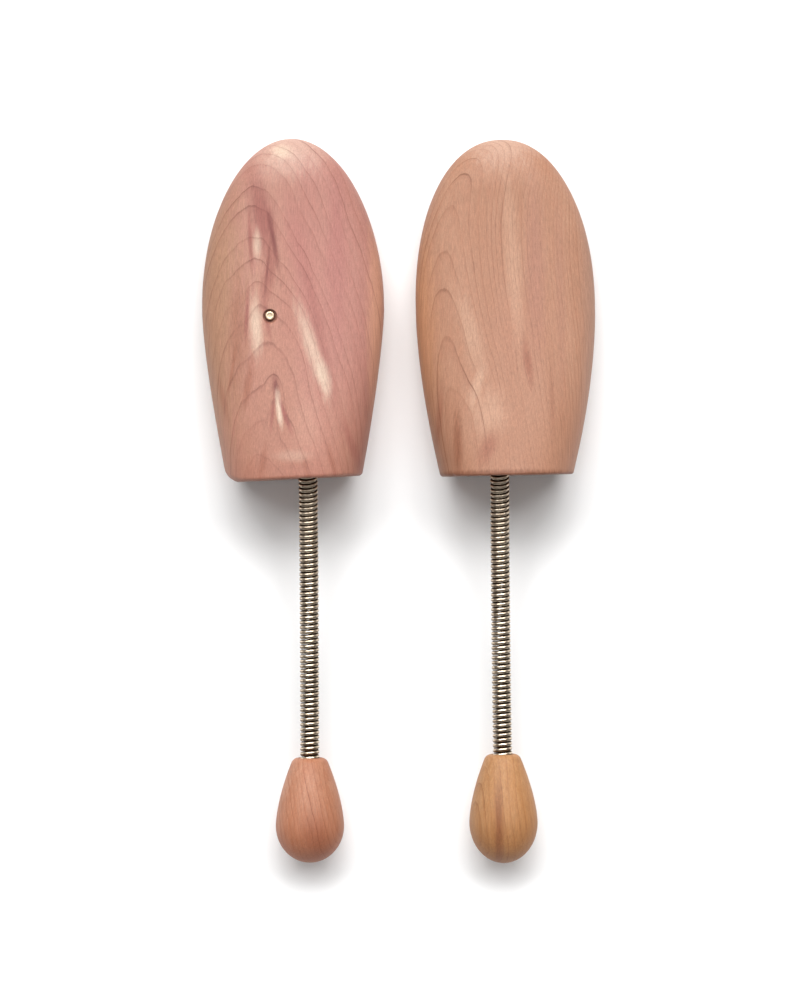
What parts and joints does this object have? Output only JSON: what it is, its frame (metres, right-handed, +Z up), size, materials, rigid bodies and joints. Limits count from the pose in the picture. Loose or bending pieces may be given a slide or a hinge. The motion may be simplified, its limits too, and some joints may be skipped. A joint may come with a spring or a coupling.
{
  "type": "shoe tree",
  "caption": "Pair of spring shoe trees: solid cedar toe blocks, close-wound steel coil springs and turned egg-shaped cedar heel knobs.",
  "frame": {"origin": "middle of the pair's footprint, on the surface that the soles and the heel knobs rest on", "axes": "+Z up, +Y towards the toes, +X to the right as seen from above, so the tree with the brass pin is on the -X side"},
  "size_m": [0.1772, 0.3265, 0.0493],
  "materials": {
    "left_cedar": "sanded bare red cedar, pinker, satin",
    "right_cedar": "sanded bare red cedar, tan, satin",
    "knob_cedar": "turned and sanded bare red cedar",
    "spring_steel": "bright nickel-plated spring wire",
    "pin_brass": "polished brass"
  },
  "bodies": {
    "left_block": {"left_toe_block": "left_cedar", "left_spring_front_end": "spring_steel", "left_marker_pin": "pin_brass"},
    "left_turns_01": {"left_coil_01": "spring_steel"},
    "left_turns_02": {"left_coil_02": "spring_steel"},
    "left_turns_03": {"left_coil_03": "spring_steel"},
    "left_turns_04": {"left_coil_04": "spring_steel"},
    "left_turns_05": {"left_coil_05": "spring_steel"},
    "left_turns_06": {"left_coil_06": "spring_steel"},
    "left_turns_07": {"left_coil_07": "spring_steel"},
    "left_turns_08": {"left_coil_08": "spring_steel"},
    "left_turns_09": {"left_coil_09": "spring_steel"},
    "left_turns_10": {"left_coil_10": "spring_steel"},
    "left_turns_11": {"left_coil_11": "spring_steel"},
    "left_turns_12": {"left_coil_12": "spring_steel"},
    "left_turns_13": {"left_coil_13": "spring_steel"},
    "left_turns_14": {"left_coil_14": "spring_steel"},
    "left_turns_15": {"left_coil_15": "spring_steel"},
    "left_turns_16": {"left_coil_16": "spring_steel"},
    "left_turns_17": {"left_coil_17": "spring_steel"},
    "left_turns_18": {"left_coil_18": "spring_steel"},
    "left_turns_19": {"left_coil_19": "spring_steel"},
    "left_turns_20": {"left_coil_20": "spring_steel"},
    "left_turns_21": {"left_coil_21": "spring_steel"},
    "left_turns_22": {"left_coil_22": "spring_steel"},
    "left_knob": {"left_heel_knob": "knob_cedar", "left_spring_rear_end": "spring_steel"},
    "right_block": {"right_toe_block": "right_cedar", "right_spring_front_end": "spring_steel"},
    "right_turns_01": {"right_coil_01": "spring_steel"},
    "right_turns_02": {"right_coil_02": "spring_steel"},
    "right_turns_03": {"right_coil_03": "spring_steel"},
    "right_turns_04": {"right_coil_04": "spring_steel"},
    "right_turns_05": {"right_coil_05": "spring_steel"},
    "right_turns_06": {"right_coil_06": "spring_steel"},
    "right_turns_07": {"right_coil_07": "spring_steel"},
    "right_turns_08": {"right_coil_08": "spring_steel"},
    "right_turns_09": {"right_coil_09": "spring_steel"},
    "right_turns_10": {"right_coil_10": "spring_steel"},
    "right_turns_11": {"right_coil_11": "spring_steel"},
    "right_turns_12": {"right_coil_12": "spring_steel"},
    "right_turns_13": {"right_coil_13": "spring_steel"},
    "right_turns_14": {"right_coil_14": "spring_steel"},
    "right_turns_15": {"right_coil_15": "spring_steel"},
    "right_turns_16": {"right_coil_16": "spring_steel"},
    "right_turns_17": {"right_coil_17": "spring_steel"},
    "right_turns_18": {"right_coil_18": "spring_steel"},
    "right_turns_19": {"right_coil_19": "spring_steel"},
    "right_turns_20": {"right_coil_20": "spring_steel"},
    "right_turns_21": {"right_coil_21": "spring_steel"},
    "right_turns_22": {"right_coil_22": "spring_steel"},
    "right_knob": {"right_heel_knob": "knob_cedar", "right_spring_rear_end": "spring_steel"}
  },
  "joints": [
    {"name": "left_bow", "type": "hinge", "parent": "left_block", "child": "left_turns_01", "pos_m": [-0.04029, 0.00556, 0.0348], "axis": [-1, -0.0024, 0], "range_deg": [0, 20.6], "stiffness_Nm_per_rad": 0.5},
    {"name": "left_side", "type": "hinge", "parent": "left_turns_01", "child": "left_turns_02", "pos_m": [-0.04028, 0.00137, 0.03038], "axis": [0, 0, 1], "range_deg": [-4.5, 4.5], "stiffness_Nm_per_rad": 0.5},
    {"name": "left_bow_02", "type": "hinge", "parent": "left_turns_02", "child": "left_turns_03", "pos_m": [-0.04027, -0.00467, 0.03119], "axis": [-1, -0.0024, 0], "range_deg": [0, 15.74], "stiffness_Nm_per_rad": 0.5},
    {"name": "left_stretch", "type": "slide", "parent": "left_turns_03", "child": "left_turns_04", "axis": [0.0023, -0.9594, -0.2822], "range_m": [0, 0.0016], "stiffness_N_per_m": 28000},
    {"name": "left_bow_03", "type": "hinge", "parent": "left_turns_04", "child": "left_turns_05", "pos_m": [-0.04024, -0.01509, 0.02812], "axis": [-1, -0.0024, 0], "range_deg": [0, 6.17], "stiffness_Nm_per_rad": 0.5},
    {"name": "left_side_02", "type": "hinge", "parent": "left_turns_05", "child": "left_turns_06", "pos_m": [-0.04023, -0.01972, 0.02416], "axis": [0, 0, 1], "range_deg": [-4.5, 4.5], "stiffness_Nm_per_rad": 0.5},
    {"name": "left_bow_04", "type": "hinge", "parent": "left_turns_06", "child": "left_turns_07", "pos_m": [-0.04022, -0.02451, 0.02028], "axis": [-1, -0.0024, 0], "range_deg": [-5.38, 0], "stiffness_Nm_per_rad": 0.5},
    {"name": "left_stretch_02", "type": "slide", "parent": "left_turns_07", "child": "left_turns_08", "axis": [0.0024, -0.9813, -0.1926], "range_m": [0, 0.0016], "stiffness_N_per_m": 28000},
    {"name": "left_bow_05", "type": "hinge", "parent": "left_turns_08", "child": "left_turns_09", "pos_m": [-0.04019, -0.03541, 0.01814], "axis": [-1, -0.0024, 0], "range_deg": [-15.59, 0], "stiffness_Nm_per_rad": 0.5},
    {"name": "left_side_03", "type": "hinge", "parent": "left_turns_09", "child": "left_turns_10", "pos_m": [-0.04018, -0.0413, 0.01991], "axis": [0, 0, 1], "range_deg": [-4.5, 4.5], "stiffness_Nm_per_rad": 0.5},
    {"name": "left_bow_06", "type": "hinge", "parent": "left_turns_10", "child": "left_turns_11", "pos_m": [-0.04016, -0.04638, 0.01644], "axis": [-1, -0.0024, 0], "range_deg": [-21.55, 0], "stiffness_Nm_per_rad": 0.5},
    {"name": "left_stretch_03", "type": "slide", "parent": "left_turns_11", "child": "left_turns_12", "axis": [0.0024, -0.9929, -0.1186], "range_m": [0, 0.0016], "stiffness_N_per_m": 28000},
    {"name": "left_bow_07", "type": "hinge", "parent": "left_turns_12", "child": "left_turns_13", "pos_m": [-0.04014, -0.05739, 0.01512], "axis": [-1, -0.0024, 0], "range_deg": [-21.55, 0], "stiffness_Nm_per_rad": 0.5},
    {"name": "left_side_04", "type": "hinge", "parent": "left_turns_13", "child": "left_turns_14", "pos_m": [-0.04012, -0.06314, 0.01728], "axis": [0, 0, 1], "range_deg": [-4.5, 4.5], "stiffness_Nm_per_rad": 0.5},
    {"name": "left_bow_08", "type": "hinge", "parent": "left_turns_14", "child": "left_turns_15", "pos_m": [-0.04011, -0.06842, 0.01414], "axis": [-1, -0.0024, 0], "range_deg": [-15.59, 0], "stiffness_Nm_per_rad": 0.5},
    {"name": "left_stretch_04", "type": "slide", "parent": "left_turns_15", "child": "left_turns_16", "axis": [0.0024, -0.9981, -0.0614], "range_m": [0, 0.0016], "stiffness_N_per_m": 28000},
    {"name": "left_bow_09", "type": "hinge", "parent": "left_turns_16", "child": "left_turns_17", "pos_m": [-0.04008, -0.07947, 0.01346], "axis": [-1, -0.0024, 0], "range_deg": [-5.38, 0], "stiffness_Nm_per_rad": 0.5},
    {"name": "left_side_05", "type": "hinge", "parent": "left_turns_17", "child": "left_turns_18", "pos_m": [-0.04007, -0.0851, 0.01592], "axis": [0, 0, 1], "range_deg": [-4.5, 4.5], "stiffness_Nm_per_rad": 0.5},
    {"name": "left_bow_10", "type": "hinge", "parent": "left_turns_18", "child": "left_turns_19", "pos_m": [-0.04006, -0.09067, 0.01843], "axis": [-1, -0.0024, 0], "range_deg": [0, 6.17], "stiffness_Nm_per_rad": 0.5},
    {"name": "left_stretch_05", "type": "slide", "parent": "left_turns_19", "child": "left_turns_20", "axis": [0.0024, -0.9998, -0.0213], "range_m": [0, 0.0016], "stiffness_N_per_m": 28000},
    {"name": "left_bow_11", "type": "hinge", "parent": "left_turns_20", "child": "left_turns_21", "pos_m": [-0.04003, -0.10163, 0.01819], "axis": [-1, -0.0024, 0], "range_deg": [0, 15.74], "stiffness_Nm_per_rad": 0.5},
    {"name": "left_side_06", "type": "hinge", "parent": "left_turns_21", "child": "left_turns_22", "pos_m": [-0.04001, -0.10709, 0.01543], "axis": [0, 0, 1], "range_deg": [-4.5, 4.5], "stiffness_Nm_per_rad": 0.5},
    {"name": "left_bow_12", "type": "hinge", "parent": "left_turns_22", "child": "left_knob", "pos_m": [-0.04, -0.1126, 0.0181], "axis": [-1, -0.0024, 0], "range_deg": [0, 20.6], "stiffness_Nm_per_rad": 0.5},
    {"name": "pair_spacing", "type": "slide", "parent": "left_block", "child": "right_block", "axis": [1, 0, 0], "range_m": [0, 0.12]},
    {"name": "right_bow", "type": "hinge", "parent": "right_block", "child": "right_turns_01", "pos_m": [0.04506, 0.00716, 0.0348], "axis": [-0.9999, -0.0143, 0], "range_deg": [0, 20.6], "stiffness_Nm_per_rad": 0.5},
    {"name": "right_side", "type": "hinge", "parent": "right_turns_01", "child": "right_turns_02", "pos_m": [0.04512, 0.00297, 0.03038], "axis": [0, 0, 1], "range_deg": [-4.5, 4.5], "stiffness_Nm_per_rad": 0.5},
    {"name": "right_bow_02", "type": "hinge", "parent": "right_turns_02", "child": "right_turns_03", "pos_m": [0.0452, -0.00307, 0.03119], "axis": [-0.9999, -0.0143, 0], "range_deg": [0, 15.74], "stiffness_Nm_per_rad": 0.5},
    {"name": "right_stretch", "type": "slide", "parent": "right_turns_03", "child": "right_turns_04", "axis": [0.0137, -0.9593, -0.2822], "range_m": [0, 0.0016], "stiffness_N_per_m": 28000},
    {"name": "right_bow_03", "type": "hinge", "parent": "right_turns_04", "child": "right_turns_05", "pos_m": [0.04535, -0.01349, 0.02812], "axis": [-0.9999, -0.0143, 0], "range_deg": [0, 6.17], "stiffness_Nm_per_rad": 0.5},
    {"name": "right_side_02", "type": "hinge", "parent": "right_turns_05", "child": "right_turns_06", "pos_m": [0.04542, -0.01812, 0.02416], "axis": [0, 0, 1], "range_deg": [-4.5, 4.5], "stiffness_Nm_per_rad": 0.5},
    {"name": "right_bow_04", "type": "hinge", "parent": "right_turns_06", "child": "right_turns_07", "pos_m": [0.04549, -0.0229, 0.02028], "axis": [-0.9999, -0.0143, 0], "range_deg": [-5.38, 0], "stiffness_Nm_per_rad": 0.5},
    {"name": "right_stretch_02", "type": "slide", "parent": "right_turns_07", "child": "right_turns_08", "axis": [0.014, -0.9812, -0.1926], "range_m": [0, 0.0016], "stiffness_N_per_m": 28000},
    {"name": "right_bow_05", "type": "hinge", "parent": "right_turns_08", "child": "right_turns_09", "pos_m": [0.04564, -0.03381, 0.01814], "axis": [-0.9999, -0.0143, 0], "range_deg": [-15.59, 0], "stiffness_Nm_per_rad": 0.5},
    {"name": "right_side_03", "type": "hinge", "parent": "right_turns_09", "child": "right_turns_10", "pos_m": [0.04573, -0.0397, 0.01991], "axis": [0, 0, 1], "range_deg": [-4.5, 4.5], "stiffness_Nm_per_rad": 0.5},
    {"name": "right_bow_06", "type": "hinge", "parent": "right_turns_10", "child": "right_turns_11", "pos_m": [0.0458, -0.04477, 0.01644], "axis": [-0.9999, -0.0143, 0], "range_deg": [-21.55, 0], "stiffness_Nm_per_rad": 0.5},
    {"name": "right_stretch_03", "type": "slide", "parent": "right_turns_11", "child": "right_turns_12", "axis": [0.0142, -0.9928, -0.1186], "range_m": [0, 0.0016], "stiffness_N_per_m": 28000},
    {"name": "right_bow_07", "type": "hinge", "parent": "right_turns_12", "child": "right_turns_13", "pos_m": [0.04596, -0.05578, 0.01512], "axis": [-0.9999, -0.0143, 0], "range_deg": [-21.55, 0], "stiffness_Nm_per_rad": 0.5},
    {"name": "right_side_04", "type": "hinge", "parent": "right_turns_13", "child": "right_turns_14", "pos_m": [0.04604, -0.06153, 0.01728], "axis": [0, 0, 1], "range_deg": [-4.5, 4.5], "stiffness_Nm_per_rad": 0.5},
    {"name": "right_bow_08", "type": "hinge", "parent": "right_turns_14", "child": "right_turns_15", "pos_m": [0.04612, -0.06682, 0.01414], "axis": [-0.9999, -0.0143, 0], "range_deg": [-15.59, 0], "stiffness_Nm_per_rad": 0.5},
    {"name": "right_stretch_04", "type": "slide", "parent": "right_turns_15", "child": "right_turns_16", "axis": [0.0143, -0.998, -0.0614], "range_m": [0, 0.0016], "stiffness_N_per_m": 28000},
    {"name": "right_bow_09", "type": "hinge", "parent": "right_turns_16", "child": "right_turns_17", "pos_m": [0.04627, -0.07786, 0.01346], "axis": [-0.9999, -0.0143, 0], "range_deg": [-5.38, 0], "stiffness_Nm_per_rad": 0.5},
    {"name": "right_side_05", "type": "hinge", "parent": "right_turns_17", "child": "right_turns_18", "pos_m": [0.04636, -0.08349, 0.01592], "axis": [0, 0, 1], "range_deg": [-4.5, 4.5], "stiffness_Nm_per_rad": 0.5},
    {"name": "right_bow_10", "type": "hinge", "parent": "right_turns_18", "child": "right_turns_19", "pos_m": [0.04644, -0.08906, 0.01843], "axis": [-0.9999, -0.0143, 0], "range_deg": [0, 6.17], "stiffness_Nm_per_rad": 0.5},
    {"name": "right_stretch_05", "type": "slide", "parent": "right_turns_19", "child": "right_turns_20", "axis": [0.0143, -0.9997, -0.0213], "range_m": [0, 0.0016], "stiffness_N_per_m": 28000},
    {"name": "right_bow_11", "type": "hinge", "parent": "right_turns_20", "child": "right_turns_21", "pos_m": [0.04659, -0.10002, 0.01819], "axis": [-0.9999, -0.0143, 0], "range_deg": [0, 15.74], "stiffness_Nm_per_rad": 0.5},
    {"name": "right_side_06", "type": "hinge", "parent": "right_turns_21", "child": "right_turns_22", "pos_m": [0.04667, -0.10548, 0.01543], "axis": [0, 0, 1], "range_deg": [-4.5, 4.5], "stiffness_Nm_per_rad": 0.5},
    {"name": "right_bow_12", "type": "hinge", "parent": "right_turns_22", "child": "right_knob", "pos_m": [0.04675, -0.11099, 0.0181], "axis": [-0.9999, -0.0143, 0], "range_deg": [0, 20.6], "stiffness_Nm_per_rad": 0.5}
  ],
  "couplings": [
    {"joint": "left_bow_02", "follows": "left_bow", "ratio": 0.7643},
    {"joint": "left_bow_03", "follows": "left_bow", "ratio": 0.2997},
    {"joint": "left_side_02", "follows": "left_side", "ratio": 1},
    {"joint": "left_bow_04", "follows": "left_bow", "ratio": -0.2609},
    {"joint": "left_stretch_02", "follows": "left_stretch", "ratio": 1},
    {"joint": "left_bow_05", "follows": "left_bow", "ratio": -0.7568},
    {"joint": "left_side_03", "follows": "left_side", "ratio": 1},
    {"joint": "left_bow_06", "follows": "left_bow", "ratio": -1.0462},
    {"joint": "left_stretch_03", "follows": "left_stretch", "ratio": 1},
    {"joint": "left_bow_07", "follows": "left_bow", "ratio": -1.0462},
    {"joint": "left_side_04", "follows": "left_side", "ratio": 1},
    {"joint": "left_bow_08", "follows": "left_bow", "ratio": -0.7568},
    {"joint": "left_stretch_04", "follows": "left_stretch", "ratio": 1},
    {"joint": "left_bow_09", "follows": "left_bow", "ratio": -0.2609},
    {"joint": "left_side_05", "follows": "left_side", "ratio": 1},
    {"joint": "left_bow_10", "follows": "left_bow", "ratio": 0.2997},
    {"joint": "left_stretch_05", "follows": "left_stretch", "ratio": 1},
    {"joint": "left_bow_11", "follows": "left_bow", "ratio": 0.7643},
    {"joint": "left_side_06", "follows": "left_side", "ratio": 1},
    {"joint": "left_bow_12", "follows": "left_bow", "ratio": 1},
    {"joint": "right_bow_02", "follows": "right_bow", "ratio": 0.7643},
    {"joint": "right_bow_03", "follows": "right_bow", "ratio": 0.2997},
    {"joint": "right_side_02", "follows": "right_side", "ratio": 1},
    {"joint": "right_bow_04", "follows": "right_bow", "ratio": -0.2609},
    {"joint": "right_stretch_02", "follows": "right_stretch", "ratio": 1},
    {"joint": "right_bow_05", "follows": "right_bow", "ratio": -0.7568},
    {"joint": "right_side_03", "follows": "right_side", "ratio": 1},
    {"joint": "right_bow_06", "follows": "right_bow", "ratio": -1.0462},
    {"joint": "right_stretch_03", "follows": "right_stretch", "ratio": 1},
    {"joint": "right_bow_07", "follows": "right_bow", "ratio": -1.0462},
    {"joint": "right_side_04", "follows": "right_side", "ratio": 1},
    {"joint": "right_bow_08", "follows": "right_bow", "ratio": -0.7568},
    {"joint": "right_stretch_04", "follows": "right_stretch", "ratio": 1},
    {"joint": "right_bow_09", "follows": "right_bow", "ratio": -0.2609},
    {"joint": "right_side_05", "follows": "right_side", "ratio": 1},
    {"joint": "right_bow_10", "follows": "right_bow", "ratio": 0.2997},
    {"joint": "right_stretch_05", "follows": "right_stretch", "ratio": 1},
    {"joint": "right_bow_11", "follows": "right_bow", "ratio": 0.7643},
    {"joint": "right_side_06", "follows": "right_side", "ratio": 1},
    {"joint": "right_bow_12", "follows": "right_bow", "ratio": 1}
  ]
}
